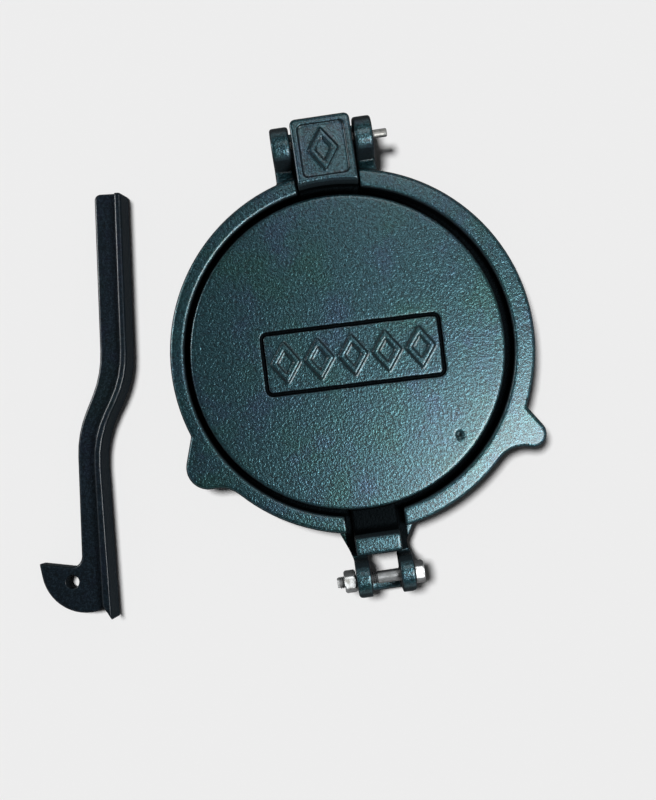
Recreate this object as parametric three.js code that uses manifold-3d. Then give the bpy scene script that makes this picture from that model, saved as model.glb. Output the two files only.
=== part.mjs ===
// A hand press for flatbreads, cast in iron. A round lid hinges at the back of a rimmed base and closes
// inside the rim. A lever, shown taken off and lying beside the press, pivots on the bolt in the clevis at
// the front: its arm presses the lid's tongue down, and its beak lifts the tongue again.
// Millimetres. +X is to the right, +Y runs from the clevis to the hinge, +Z is up. The bench is at z = 0 and
// the origin is the middle of the space that the whole set takes up on it.

import * as THREE from "three";
import { mergeVertices } from "three/addons/utils/BufferGeometryUtils.js";
import Module from "manifold-3d";

const wasm = await Module();
wasm.setup();

const degree = Math.PI / 180;
const fitGap = 0.3; // between pieces that touch or turn in each other
const overrun = 5; // how far a cut runs past what it cuts

// Base: the pan that the bread is pressed in
const footHeight = 10; // underside of the pan above the bench
const panFloor = 5;
const panWall = 4;
const wallDraft = 2.2; // the outer wall leans in by this much towards its foot
const panFootRound = 2.5;
const panCornerRound = 1;
const panSetover = 1.3; // the pan's wall is cast this far left of the middle of the rim's outline
const rimHeight = 9; // above the pressing face
const rimWidth = 7.1;
const rimFlangeDepth = 6.5;
const rimEdgeRound = 1.2;
const rimBedding = 2.2; // how far the flange starts inside the wall

// Base: lugs of the rim, each a round knob with a fillet in front and a straight flank behind, and the
// legs under them. Their angles are measured from the clevis.
const leftLugAngle = 59.5 * degree;
const leftLugRadius = 8.9;
const leftLugStandout = 1.1; // middle of the knob outside the edge of the rim
const leftLugFlankAngle = 11 * degree; // the flank meets the rim this much further round than the knob
const rightLugAngle = 57 * degree;
const rightLugRadius = 5.5;
const rightLugStandout = 6.3;
const rightLugFlankAngle = 7 * degree;
const lugFillet = 12;
const legTopRadius = 5.2;
const legFootRadius = 4.4;
const legFootRound = 1;
const backLegSetback = 5.6; // the back leg stands this far in front of the pin

// Lid
const discRadius = 63.5; // five inches across
const discThickness = 8;
const discTopRound = 1.4;
const discFaceRound = 0.8;
const discSetover = 2; // the disc is cast this far left of the hinge's middle
const rimClearance = 2.7; // the groove between the disc and the rim
const armRise = 0.8; // underside of the tongue and the hinge arm above the pressing face of the disc
const armBevel = 0.8;

// Lid: tongue under the lever
const tongueWidth = 18.4;
const tongueSetover = 1; // the tongue and the rim's gap for it stand this far left of the bolt's middle
const tongueSetback = 9.4; // the tongue ends this far behind the bolt's middle
const tonguePadLength = 7.4;
const tongueRampLength = 1.6;
const tongueEndRound = 1.6;
const scoopDepth = 5; // floor of the scoop behind the tongue's pad, below the top of the disc
const scoopRound = 3;

// Lid: hinge arm, knuckle and the pad on top of it
const padWidth = 24;
const padDiscGap = 4; // between the edge of the disc and the pad, whose front runs round the disc
const padTail = 9.2; // how far the pad runs on behind the pin
const padTailThickness = 5;
const padRise = 8; // top of the pad above the pin
const padRound = 1.5;
const padCornerRound = 2.5;
const padDip = 5; // floor in front of the pad, below the top of the disc
const padFieldMargin = 2.6; // between the edge of the pad and the sunk field in it
const padFieldCornerRound = 2.2;
const lidOpenAngle = 105 * degree;

// Lid: the panel of ornament on the disc, a row of raised lozenges inside a groove, and one on the pad
const panelLength = 73;
const panelWidth = 26;
const panelCornerRound = 3;
const panelSetforward = 1.4; // middle of the panel in front of the middle of the press
const panelTurn = -1.4 * degree; // the panel is cast a little out of square
const panelGrooveWidth = 1.5;
const panelGrooveDepth = 1.3;
const lozengeCount = 5;
const lozengeWidth = 13;
const lozengeLength = 18.5;
const lozengeGap = 0.6;
const lozengeRise = 0.9;
const lozengeBedding = 1;
const lozengeTopShare = 0.88;

// Hinge
const pinStandoff = 11.3; // from the edge of the rim to the pin
const pinRise = 0; // pin above the top of the rim
const pinRadius = 1.75;
const rodChamfer = 0.4; // on the ends of the pin and the bolt
const pinStickOut = 5.8; // past the right ear
const hingeEarThickness = 7.6;
const hingeEarGap = 25.6; // between the two ears
const hingeBossRadius = 7.9;
const hingeBracketDrop = 4; // underside of the bracket below the underside of the pan
const hingeNeckDip = 3;
const hingeEarBevel = 1;

// Clevis for the lever
const boltStandoff = 17.7; // from the edge of the rim to the bolt
const boltRise = 0; // bolt above the top of the rim
const clevisGap = 12; // between the two ears
const clevisEarThickness = 5.7;
const clevisBossRadius = 7.4;
const clevisRootRight = 14.5; // half widths of the bracket, right and left of the bolt's middle
const clevisRootLeft = 15.8;
const clevisNeckRight = 10.3;
const clevisNeckLeft = 12.9;
const clevisNeckStandoff = 6.2; // from the edge of the rim
const clevisDrop = 2; // underside of the bracket below the underside of the pan
const clevisSlotStandoff = 2.7; // from the edge of the rim
const clevisBevel = 1;
const crossbarWidth = 7.6;
const crossbarHeight = 3.5;
const crossbarSetback = 0.4; // the crossbar's front face behind the front of the ears
const notchWidth = 24; // gap in the rim for the tongue

// Bolt and nut (M5)
const boltRadius = 2.5;
const boltLength = 31.6;
const hexAcrossFlats = 8;
const boltHeadHeight = 3.5;
const nutHeight = 4.7;
const hexChamferAngle = 30 * degree;

// Lever, in its own plane: u runs along the arm from the bolt hole, v towards the flange
const armDepth = 10;
const gripExtraDepth = 1.8; // the outer arm is this much deeper than the inner
const armEdgeV = 4.1; // inner edge of the arm beside the bolt hole
const armJog = 10.8; // the outer arm is stepped towards the flange by this much
const armJogStart = 60.4;
const armJogLength = 24;
const armJogRoundShare = 1.8; // of the jog's length
const armEnd = 157.7;
const armEndRound = 2.5;
const webThickness = 9;
const webBevel = 1;
const flangeThickness = 3;
const flangeWidth = 15;
const flangeBevel = 1;
const flangeFootU = -9.9;
const flangeTipU = -15.8;
const footFlare = 1.6; // the flange stands off this much further at its foot
const footThickening = 0.9; // and is this much thicker there
const beakTipV = -13.8;
const beakTipU = 7.6;
const beakRootU = 5.3;
const beakRootRound = 4.5;
const camCentreV = 5.3;
const camCentreU = 5.5;
const camRadius = 18.4;

// Where the lever lies: its bolt hole beside the press, and its turn away from +Y
const leverStandoff = 53; // from the edge of the rim
const leverSetback = 14.7; // behind the bolt in the clevis
const leverTurn = -6.2 * degree;

// Facets
const roundSegments = 72;
const smallSegments = 24;
const facetAngle = 15 * degree;
const rimFacetAngle = 3 * degree;
const leverFacetAngle = 7.5 * degree;
const bevelSteps = 2;

// Sizes and heights that follow from the ones above
const rimInnerRadius = discRadius + rimClearance;
const rimOuterRadius = rimInnerRadius + rimWidth;
const armJogEnd = armJogStart + armJogLength;
const armJogRound = armJogLength * armJogRoundShare;
const leftLugPitch = rimOuterRadius + leftLugStandout;
const rightLugPitch = rimOuterRadius + rightLugStandout;
const pinReach = rimOuterRadius + pinStandoff;
const backLegReach = pinReach - backLegSetback;
const boltReach = rimOuterRadius + boltStandoff;
const tongueReach = boltReach - tongueSetback;
const armRootReach = discRadius - 2 * discThickness;
const padFrontReach = discRadius + padDiscGap;
const clevisNeckReach = rimOuterRadius + clevisNeckStandoff;
const clevisSlotStart = rimOuterRadius + clevisSlotStandoff;
const pressingFaceZ = footHeight + panFloor;
const rimTopZ = pressingFaceZ + rimHeight;
const discFaceZ = pressingFaceZ + fitGap;
const discTopZ = discFaceZ + discThickness;
const sillZ = pressingFaceZ + armRise; // floor of both gaps in the rim
const armBottomZ = discFaceZ + armRise;
const pinZ = rimTopZ + pinRise;
const boltZ = rimTopZ + boltRise;
const knuckleRadius = pinZ - armBottomZ;
const padTopZ = pinZ + padRise;
const hingeEarOuter = hingeEarGap / 2 + hingeEarThickness;
const hingeBracketZ = footHeight - hingeBracketDrop;
const clevisEarOuter = clevisGap / 2 + clevisEarThickness;
const clevisFront = boltReach + clevisBossRadius;
const clevisBottomZ = footHeight - clevisDrop;
const hexCornerRadius = hexAcrossFlats / Math.sqrt(3);

// The open lid's pad comes down on this ledge between the hinge ears.
const padCornerAngle = Math.atan2(padRise, padTail);
const ledgeZ = pinZ - Math.hypot(padTail, padRise) * Math.sin(lidOpenAngle - padCornerAngle) - fitGap;

const paint = new THREE.MeshStandardMaterial({ color: 0x2f474c, roughness: 0.42, metalness: 0.1 });
const darkPaint = new THREE.MeshStandardMaterial({ color: 0x1c272d, roughness: 0.5, metalness: 0.1 });
const zinc = new THREE.MeshStandardMaterial({ color: 0xd3d7d8, roughness: 0.3, metalness: 0.9 });

const along = {
  x: new THREE.Vector3(1, 0, 0),
  y: new THREE.Vector3(0, 1, 0),
  z: new THREE.Vector3(0, 0, 1),
};
const alongX = new THREE.Matrix4().makeBasis(along.y, along.z, along.x); // stands an outline up in YZ

// A closed solid from a geometry, with the vertices on its seams shared.
function solid(geometry) {
  const loose = geometry.index ? geometry.toNonIndexed() : geometry;
  const skin = new THREE.BufferGeometry();
  skin.setAttribute("position", loose.getAttribute("position"));
  const shell = mergeVertices(skin);
  const vertProperties = shell.getAttribute("position").array;
  const triVerts = new Uint32Array(shell.getIndex().array);
  return new wasm.Manifold(new wasm.Mesh({ numProp: 3, vertProperties, triVerts }));
}

function joined(first, ...others) {
  return others.reduce((sum, next) => sum.add(next), first);
}

function part(name, body, material) {
  const { vertProperties, triVerts } = body.getMesh();
  const geometry = new THREE.BufferGeometry();
  geometry.setAttribute("position", new THREE.BufferAttribute(vertProperties, 3));
  geometry.setIndex(new THREE.BufferAttribute(triVerts, 1));
  geometry.computeVertexNormals();
  const mesh = new THREE.Mesh(geometry, material);
  mesh.name = name;
  return mesh;
}

function arc(centreX, centreY, radius, from, to, facet = facetAngle) {
  const steps = Math.max(1, Math.ceil(Math.abs(to - from) / facet));
  return Array.from({ length: steps + 1 }, (_, i) => {
    const angle = from + ((to - from) * i) / steps;
    return new THREE.Vector2(centreX + radius * Math.cos(angle), centreY + radius * Math.sin(angle));
  });
}

// Points round an outline whose corners are [x, y, rounding], with the rounding left out where it is zero.
function rounded(corners, facet = facetAngle) {
  return corners.flatMap(([x, y, radius = 0], i) => {
    const corner = new THREE.Vector2(x, y);
    if (radius === 0) return [corner];
    const [beforeX, beforeY] = corners.at(i - 1);
    const [afterX, afterY] = corners[(i + 1) % corners.length];
    const toBefore = new THREE.Vector2(beforeX - x, beforeY - y).normalize();
    const toAfter = new THREE.Vector2(afterX - x, afterY - y).normalize();
    const halfAngle = Math.acos(toBefore.dot(toAfter)) / 2;
    const reach = radius / Math.tan(halfAngle);
    const start = corner.clone().addScaledVector(toBefore, reach);
    const middle = toBefore.clone().add(toAfter).normalize();
    const centre = corner.clone().addScaledVector(middle, radius / Math.sin(halfAngle));
    const from = Math.atan2(start.y - centre.y, start.x - centre.x);
    const turn = Math.sign(toAfter.cross(toBefore)) * (Math.PI - 2 * halfAngle);
    return arc(centre.x, centre.y, radius, from, from + turn, facet);
  });
}

// An outline made solid, from one height to another, with its edges rounded by the bevel.
function slab(points, from, to, bevel = 0, holes = []) {
  const outline = new THREE.Shape(points);
  outline.holes = holes.map((hole) => new THREE.Path(hole));
  const geometry = new THREE.ExtrudeGeometry(outline, {
    depth: to - from - 2 * bevel,
    bevelEnabled: bevel > 0,
    bevelThickness: bevel,
    bevelSize: bevel,
    bevelOffset: -bevel,
    bevelSegments: bevelSteps,
  });
  return geometry.translate(0, 0, from + bevel);
}

// The same, for an outline in the YZ plane that reaches from one x to another.
function sideSlab(points, from, to, bevel = 0) {
  return slab(points, from, to, bevel).applyMatrix4(alongX);
}

function block(fromX, toX, fromY, toY, fromZ, toZ) {
  const box = new THREE.BoxGeometry(toX - fromX, toY - fromY, toZ - fromZ);
  return solid(box.translate((fromX + toX) / 2, (fromY + toY) / 2, (fromZ + toZ) / 2));
}

// A profile of [radius, height] points turned about the z axis.
function turned(profile, segments) {
  return new THREE.LatheGeometry(profile, segments).rotateX(Math.PI / 2);
}

// A profile of [radius, x] points turned about a line along x.
function turnedAlongX(profile, y, z) {
  const points = profile.map(([radius, x]) => new THREE.Vector2(radius, x));
  return solid(turned(points, smallSegments).rotateY(Math.PI / 2).translate(0, y, z));
}

function bore(radius, fromX, toX, y, z) {
  return turnedAlongX([[0, fromX], [radius, fromX], [radius, toX], [0, toX]], y, z);
}

function rod(radius, fromX, toX, y, z) {
  const neck = radius - rodChamfer;
  const profile = [
    [0, fromX],
    [neck, fromX],
    [radius, fromX + rodChamfer],
    [radius, toX - rodChamfer],
    [neck, toX],
    [0, toX],
  ];
  return turnedAlongX(profile, y, z);
}

// Forward reaches are measured from the press's middle towards the clevis, so they turn into minus y.
function forward(corners) {
  return corners.map(([reach, z, radius]) => [-reach, z, radius]);
}

function mirroredInX(corners) {
  return [...corners, ...corners.toReversed().map(([x, y, radius]) => [-x, y, radius])];
}

function pan() {
  const wallTop = rimInnerRadius + panWall;
  const wallFoot = wallTop - wallDraft;
  const profile = rounded([
    [0, footHeight],
    [wallFoot, footHeight, panFootRound],
    [wallTop, rimTopZ],
    [rimInnerRadius, rimTopZ, rimEdgeRound],
    [rimInnerRadius, pressingFaceZ, panCornerRound],
    [0, pressingFaceZ],
  ]);
  return solid(turned(profile, roundSegments).translate(-panSetover, 0, 0));
}

function polar(radius, angle) {
  return new THREE.Vector2(radius * Math.cos(angle), radius * Math.sin(angle));
}

// An arc about a centre from one point to another, anticlockwise or clockwise.
function arcBetween(centre, start, end, anticlockwise, facet = facetAngle) {
  const from = start.clone().sub(centre);
  const to = end.clone().sub(centre);
  const whole = 2 * Math.PI;
  const sweep = (to.angle() - from.angle() + 2 * whole) % whole;
  const last = from.angle() + (anticlockwise ? sweep : sweep - whole);
  return arc(centre.x, centre.y, from.length(), from.angle(), last, facet);
}

// A knob on the right, from the front end of its fillet on the rim to the back end of its flank there.
function lugOutline(lugAngle, pitch, lugRadius, flankAngle) {
  const angle = lugAngle - Math.PI / 2;
  const knob = polar(pitch, angle);
  const reach = rimOuterRadius + lugFillet;
  const cosine = (pitch ** 2 + reach ** 2 - (lugRadius + lugFillet) ** 2) / (2 * pitch * reach);
  const fillet = polar(reach, angle - Math.acos(cosine));
  const filletStart = fillet.clone().setLength(rimOuterRadius);
  const filletEnd = fillet.clone().sub(knob).setLength(lugRadius).add(knob);
  const flankEnd = polar(rimOuterRadius, angle + flankAngle);
  const toEnd = flankEnd.clone().sub(knob);
  const flankStart = polar(lugRadius, toEnd.angle() - Math.acos(lugRadius / toEnd.length())).add(knob);
  return [
    ...arcBetween(fillet, filletStart, filletEnd, false),
    ...arcBetween(knob, filletEnd, flankStart, true).slice(1),
    flankEnd,
  ];
}

// The rim's flange with both lugs, open in the middle.
function rimFlange() {
  const right = lugOutline(rightLugAngle, rightLugPitch, rightLugRadius, rightLugFlankAngle);
  const left = lugOutline(leftLugAngle, leftLugPitch, leftLugRadius, leftLugFlankAngle)
    .map((point) => new THREE.Vector2(-point.x, point.y))
    .toReversed();
  const middle = new THREE.Vector2();
  const outline = [
    ...right,
    ...arcBetween(middle, right.at(-1), left[0], true, rimFacetAngle).slice(1, -1),
    ...left,
    ...arcBetween(middle, left.at(-1), right[0], true, rimFacetAngle).slice(1, -1),
  ];
  const bedRadius = rimInnerRadius + rimBedding;
  const bed = arc(-panSetover, 0, bedRadius, 0, 2 * Math.PI, rimFacetAngle).slice(1);
  return solid(slab(outline, rimTopZ - rimFlangeDepth, rimTopZ, rimEdgeRound, [bed.toReversed()]));
}

function leg(x, y, topZ) {
  const profile = rounded([
    [0, 0],
    [legFootRadius, 0, legFootRound],
    [legTopRadius, topZ],
    [0, topZ],
  ]);
  return solid(turned(profile, smallSegments).translate(x, y, 0));
}

function hingeEar(side) {
  const bossFrom = 155 * degree;
  const bossTo = -50 * degree;
  const boss = arc(pinReach, pinZ, hingeBossRadius, bossFrom, bossTo);
  const rootY = rimInnerRadius + rimBedding;
  const outline = [
    new THREE.Vector2(rootY, hingeBracketZ),
    new THREE.Vector2(rootY, rimTopZ - rimEdgeRound),
    new THREE.Vector2(rimOuterRadius - rimEdgeRound, rimTopZ - rimEdgeRound),
    new THREE.Vector2((rimOuterRadius + boss[0].x) / 2, rimTopZ - hingeNeckDip),
    ...boss,
    new THREE.Vector2(pinReach + hingeBossRadius - hingeEarBevel, hingeBracketZ),
  ];
  const from = side > 0 ? hingeEarGap / 2 : -hingeEarOuter;
  return solid(sideSlab(outline, from, from + hingeEarThickness, hingeEarBevel));
}

// Two ears stand on a bracket behind the pan, with the ledge that stops the open lid between them.
function hingeBracket() {
  const floor = rounded([
    [rimInnerRadius + rimBedding, hingeBracketZ],
    [pinReach + hingeBossRadius - hingeEarBevel, hingeBracketZ, armBevel],
    [pinReach + hingeBossRadius - hingeEarBevel, ledgeZ, armBevel],
    [rimInnerRadius + rimBedding, ledgeZ],
  ]);
  const between = hingeEarGap / 2 + hingeEarThickness / 2;
  return joined(solid(sideSlab(floor, -between, between)), hingeEar(1), hingeEar(-1));
}

function clevisBracket() {
  const topCorner = boltReach - clevisBossRadius;
  const sideOutline = rounded(
    forward([
      [rimInnerRadius + rimBedding, clevisBottomZ],
      [rimInnerRadius + rimBedding, sillZ],
      [topCorner, sillZ, clevisBevel * 2],
      [topCorner, boltZ + clevisBossRadius, clevisBossRadius],
      [clevisFront, boltZ + clevisBossRadius, clevisBossRadius],
      [clevisFront, clevisBottomZ, clevisBossRadius / 2],
    ]),
  );
  const flank = (side, root, neck) => [
    [side * root, -rimInnerRadius],
    [side * root, -rimOuterRadius + clevisBevel, clevisBossRadius / 2],
    [side * neck, -clevisNeckReach, clevisBossRadius / 2],
    [side * clevisEarOuter, -(boltReach - clevisBossRadius), clevisBevel * 2],
    [side * clevisEarOuter, -clevisFront, clevisBevel * 2],
  ];
  const rightFlank = flank(1, clevisRootRight, clevisNeckRight);
  const planOutline = rounded([...rightFlank.toReversed(), ...flank(-1, clevisRootLeft, clevisNeckLeft)]);
  const side = solid(sideSlab(sideOutline, -clevisRootLeft, clevisRootRight, clevisBevel));
  const plan = solid(slab(planOutline, clevisBottomZ - overrun, boltZ + clevisBossRadius + overrun));
  const slot = block(
    -clevisGap / 2,
    clevisGap / 2,
    -clevisFront - overrun,
    -clevisSlotStart,
    clevisBottomZ - overrun,
    boltZ + clevisBossRadius + overrun,
  );
  const barFront = clevisFront - crossbarSetback;
  const crossbar = rounded(
    forward([
      [barFront, clevisBottomZ, crossbarHeight / 3],
      [barFront, clevisBottomZ + crossbarHeight, crossbarHeight / 2],
      [barFront - crossbarWidth, clevisBottomZ + crossbarHeight, crossbarHeight / 2],
      [barFront - crossbarWidth, clevisBottomZ, crossbarHeight / 3],
    ]),
  );
  const barEnd = clevisGap / 2 + clevisEarThickness / 2;
  return side.intersect(plan).subtract(slot).add(solid(sideSlab(crossbar, -barEnd, barEnd)));
}

function lugLeg(lugAngle, pitch, side, topZ) {
  return leg(side * pitch * Math.sin(lugAngle), -pitch * Math.cos(lugAngle), topZ);
}

function baseCasting() {
  const legTop = rimTopZ - rimFlangeDepth / 2;
  const casting = joined(
    pan(),
    rimFlange(),
    lugLeg(rightLugAngle, rightLugPitch, 1, legTop),
    lugLeg(leftLugAngle, leftLugPitch, -1, legTop),
    hingeBracket(),
    leg(0, backLegReach, (hingeBracketZ + ledgeZ) / 2),
    clevisBracket(),
  );
  const tongueGap = block(
    -tongueSetover - notchWidth / 2,
    -tongueSetover + notchWidth / 2,
    -(boltReach - clevisBossRadius - clevisBevel),
    -(discRadius - rimWidth),
    sillZ,
    rimTopZ + overrun,
  );
  const hingeGap = block(
    -hingeEarGap / 2,
    hingeEarGap / 2,
    discRadius - rimWidth,
    rimOuterRadius + overrun,
    sillZ,
    rimTopZ + overrun,
  );
  const pinBore = bore(
    pinRadius + fitGap,
    -hingeEarOuter - overrun,
    hingeEarOuter + overrun,
    pinReach,
    pinZ,
  );
  const boltBore = bore(
    boltRadius + fitGap,
    -clevisEarOuter - overrun,
    clevisEarOuter + overrun,
    -boltReach,
    boltZ,
  );
  return casting.subtract(tongueGap).subtract(hingeGap).subtract(pinBore).subtract(boltBore);
}

function tongue() {
  const padStart = tongueReach - tonguePadLength;
  const padTop = boltZ + armEdgeV - fitGap; // just under the lever's arm when that is down
  const scoopZ = discTopZ - scoopDepth;
  const outline = rounded(
    forward([
      [armRootReach, armBottomZ],
      [tongueReach, armBottomZ, tongueEndRound],
      [tongueReach, padTop, tongueEndRound],
      [padStart, padTop, tongueEndRound],
      [padStart - tongueRampLength, scoopZ, scoopRound],
      [armRootReach, scoopZ],
    ]),
  );
  const left = -tongueSetover - tongueWidth / 2;
  return solid(sideSlab(outline, left, left + tongueWidth, armBevel));
}

function hingeArm() {
  const dipZ = discTopZ - padDip;
  const knuckleBack = pinReach + knuckleRadius;
  const padBack = pinReach + padTail;
  const tailZ = padTopZ - padTailThickness;
  const sideOutline = rounded([
    [armRootReach, armBottomZ],
    [knuckleBack, armBottomZ, knuckleRadius],
    [knuckleBack, tailZ],
    [padBack, tailZ, padRound],
    [padBack, padTopZ, padRound],
    [armRootReach, padTopZ],
  ]);
  const planOutline = rounded(
    mirroredInX([
      [padWidth / 2, armRootReach - overrun],
      [padWidth / 2, padBack, padCornerRound],
    ]),
  );
  const inFront = rounded([
    [0, dipZ],
    [padFrontReach, dipZ, padRound],
    [padFrontReach, padTopZ - padRound],
    [padFrontReach + padRound + overrun, padTopZ + overrun],
    [0, padTopZ + overrun],
  ]);
  const side = solid(sideSlab(sideOutline, -padWidth / 2, padWidth / 2, armBevel));
  const arm = side.intersect(solid(slab(planOutline, armBottomZ - overrun, padTopZ + overrun)));
  return arm.subtract(solid(turned(inFront, roundSegments).translate(-discSetover, 0, 0)));
}

// Points round a rectangle about the origin.
function rectangle(lengthX, lengthY, cornerRound) {
  return rounded([
    [lengthX / 2, lengthY / 2, cornerRound],
    [-lengthX / 2, lengthY / 2, cornerRound],
    [-lengthX / 2, -lengthY / 2, cornerRound],
    [lengthX / 2, -lengthY / 2, cornerRound],
  ]);
}

// A lozenge with sloping sides that rises from iron at z = 0.
function lozenge() {
  const height = lozengeRise + lozengeBedding;
  const sides = new THREE.CylinderGeometry(lozengeTopShare, 1, height, 4).rotateX(Math.PI / 2);
  return sides.scale(lozengeWidth / 2, lozengeLength / 2, 1).translate(0, 0, lozengeRise - height / 2);
}

function withPanel(disc) {
  const islandLength = panelLength - 2 * panelGrooveWidth;
  const islandWidth = panelWidth - 2 * panelGrooveWidth;
  const island = rectangle(islandLength, islandWidth, panelCornerRound - panelGrooveWidth);
  const outline = rectangle(panelLength, panelWidth, panelCornerRound);
  const groove = slab(outline, -panelGrooveDepth, overrun, 0, [island.toReversed()]);
  const placed = (form) => solid(form.rotateZ(panelTurn).translate(0, -panelSetforward, discTopZ));
  const pitch = lozengeWidth + lozengeGap;
  const first = (-pitch * (lozengeCount - 1)) / 2;
  const row = Array.from({ length: lozengeCount }, (_, i) => lozenge().translate(first + i * pitch, 0, 0));
  return joined(disc.subtract(placed(groove)), ...row.map(placed));
}

// A field is sunk in the pad, with a lozenge in it as high as the pad.
function withPadField(arm) {
  const front = padFrontReach + padFieldMargin;
  const back = pinReach + padTail - padFieldMargin;
  const middle = (front + back) / 2;
  const fieldZ = padTopZ - lozengeRise;
  const outline = rectangle(padWidth - 2 * padFieldMargin, back - front, padFieldCornerRound);
  const field = solid(slab(outline, fieldZ, padTopZ + overrun).translate(0, middle, 0));
  return arm.subtract(field).add(solid(lozenge().translate(0, middle, fieldZ)));
}

function lidCasting() {
  const profile = rounded([
    [0, discFaceZ],
    [discRadius, discFaceZ, discFaceRound],
    [discRadius, discTopZ, discTopRound],
    [0, discTopZ],
  ]);
  const disc = solid(turned(profile, roundSegments).translate(-discSetover, 0, 0));
  const pinBore = bore(pinRadius + fitGap, -padWidth, padWidth, pinReach, pinZ);
  return joined(withPanel(disc), tongue(), withPadField(hingeArm())).subtract(pinBore);
}

// Corners of the arm along a line at this distance from its inner edge, from the bolt hole outwards.
function armLine(offset, extra, rounding) {
  const jogAngle = Math.atan2(armJog, armJogLength);
  const slip = offset * Math.tan(jogAngle / 2);
  return [
    [armEdgeV + offset, armJogStart - slip, rounding],
    [armEdgeV + armJog + offset + extra, armJogEnd - slip, rounding],
  ];
}

// The beak's back runs from its tip onto the round of the cam, which ends inside the flange.
function leverWeb() {
  const inFlange = armDepth - flangeThickness / 2;
  const camCentre = new THREE.Vector2(camCentreV, camCentreU);
  const beakTip = new THREE.Vector2(beakTipV, beakTipU);
  const toTip = beakTip.clone().sub(camCentre);
  const camFrom = toTip.angle() + Math.acos(camRadius / toTip.length());
  const footV = armEdgeV + inFlange + footFlare;
  const camTo = 2 * Math.PI - Math.acos((footV - camCentreV) / camRadius);
  const cam = arc(camCentreV, camCentreU, camRadius, camFrom, camTo, leverFacetAngle);
  const arm = [
    [footV, flangeFootU],
    ...armLine(inFlange, gripExtraDepth, armJogRound),
    [armEdgeV + armJog + inFlange + gripExtraDepth, armEnd],
    [armEdgeV + armJog, armEnd, armEndRound],
    ...armLine(0, 0, armJogRound).toReversed(),
    [armEdgeV, beakRootU, beakRootRound],
    [beakTipV, beakTipU],
  ];
  return [beakTip, ...cam, ...rounded(arm, leverFacetAngle).slice(1, -1)];
}

function leverFlange() {
  const inner = armDepth - flangeThickness;
  const flange = [
    [armEdgeV + inner + footFlare, flangeFootU],
    [armEdgeV + armDepth + footFlare + footThickening, flangeTipU],
    ...armLine(armDepth, gripExtraDepth, armJogRound),
    [armEdgeV + armJog + armDepth + gripExtraDepth, armEnd, armEndRound / 2],
    [armEdgeV + armJog + inner + gripExtraDepth, armEnd],
    ...armLine(inner, gripExtraDepth, armJogRound).toReversed(),
  ];
  return rounded(flange, leverFacetAngle);
}

function leverCasting() {
  const web = solid(slab(leverWeb(), -webThickness / 2, webThickness / 2, webBevel));
  const flange = solid(slab(leverFlange(), -flangeWidth / 2, flangeWidth / 2, flangeBevel));
  const hole = new THREE.CylinderGeometry(
    boltRadius + fitGap,
    boltRadius + fitGap,
    webThickness + 2 * overrun,
    smallSegments,
  ).rotateX(Math.PI / 2);
  return web.add(flange).subtract(solid(hole));
}

// A hexagon along x with its corners chamfered at the far end, and at the near end too if asked.
function hexPrism(fromX, toX, chamferedFrom) {
  const hex = new THREE.CylinderGeometry(hexCornerRadius, hexCornerRadius, toX - fromX, 6);
  const prism = solid(hex.rotateZ(Math.PI / 2).translate((fromX + toX) / 2, -boltReach, boltZ));
  const flat = hexAcrossFlats / 2;
  const reach = hexCornerRadius + fitGap;
  const drop = (reach - flat) * Math.tan(hexChamferAngle);
  const start = chamferedFrom ? [[flat, fromX], [reach, fromX + drop]] : [[reach, fromX]];
  return prism.intersect(
    turnedAlongX([[0, fromX], ...start, [reach, toX - drop], [flat, toX], [0, toX]], -boltReach, boltZ),
  );
}

const headX = clevisEarOuter + fitGap;
const nutX = -headX;

function leverBolt() {
  const shank = rod(boltRadius, headX - boltLength, headX + boltHeadHeight / 2, -boltReach, boltZ);
  return shank.add(hexPrism(headX, headX + boltHeadHeight, false));
}

function leverNut() {
  const hole = bore(boltRadius + fitGap, nutX - nutHeight - overrun, nutX + overrun, -boltReach, boltZ);
  return hexPrism(nutX - nutHeight, nutX, true).subtract(hole);
}

function hingePin() {
  return rod(pinRadius, -hingeEarOuter, hingeEarOuter + pinStickOut, pinReach, pinZ);
}

const press = new THREE.Group();
press.add(
  part("base_casting", baseCasting(), paint),
  part("lid_casting", lidCasting(), paint),
  part("hinge_pin", hingePin(), zinc),
  part("lever_bolt", leverBolt(), zinc),
  part("lever_nut", leverNut(), zinc),
);

// The lever lies on its side, on the flange's lower edge and the tip of the beak.
const lever = new THREE.Group();
lever.add(part("lever_casting", leverCasting(), darkPaint));
const flangeEdge = armDepth - flangeThickness + flangeBevel;
const flangeFootRest = new THREE.Vector3(armEdgeV + flangeEdge + footFlare, flangeFootU, -flangeWidth / 2);
const flangeEndV = armEdgeV + armJog + flangeEdge + gripExtraDepth;
const flangeEndRest = new THREE.Vector3(flangeEndV, armEnd, -flangeWidth / 2);
const beakRest = new THREE.Vector3(beakTipV + webBevel, beakTipU - webBevel, -webThickness / 2);
const underside = new THREE.Plane().setFromCoplanarPoints(flangeFootRest, flangeEndRest, beakRest).normal;
underside.multiplyScalar(Math.sign(underside.z));
const layFlat = new THREE.Quaternion().setFromUnitVectors(underside, along.z);
const turn = new THREE.Quaternion().setFromAxisAngle(along.z, leverTurn);
lever.quaternion.copy(turn.multiply(layFlat));
lever.position.set(-rimOuterRadius - leverStandoff, leverSetback - boltReach, 0);
lever.position.z = -new THREE.Box3().setFromObject(lever, true).min.z;

const set = new THREE.Group();
set.add(press, lever);
const space = new THREE.Box3().setFromObject(set, true);
const middle = space.getCenter(new THREE.Vector3());
set.position.set(-middle.x, -middle.y, -space.min.z);

const rotiPress = new THREE.Group();
rotiPress.add(set);

export default rotiPress;
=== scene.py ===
import math
from contextlib import contextmanager
from functools import reduce

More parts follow.
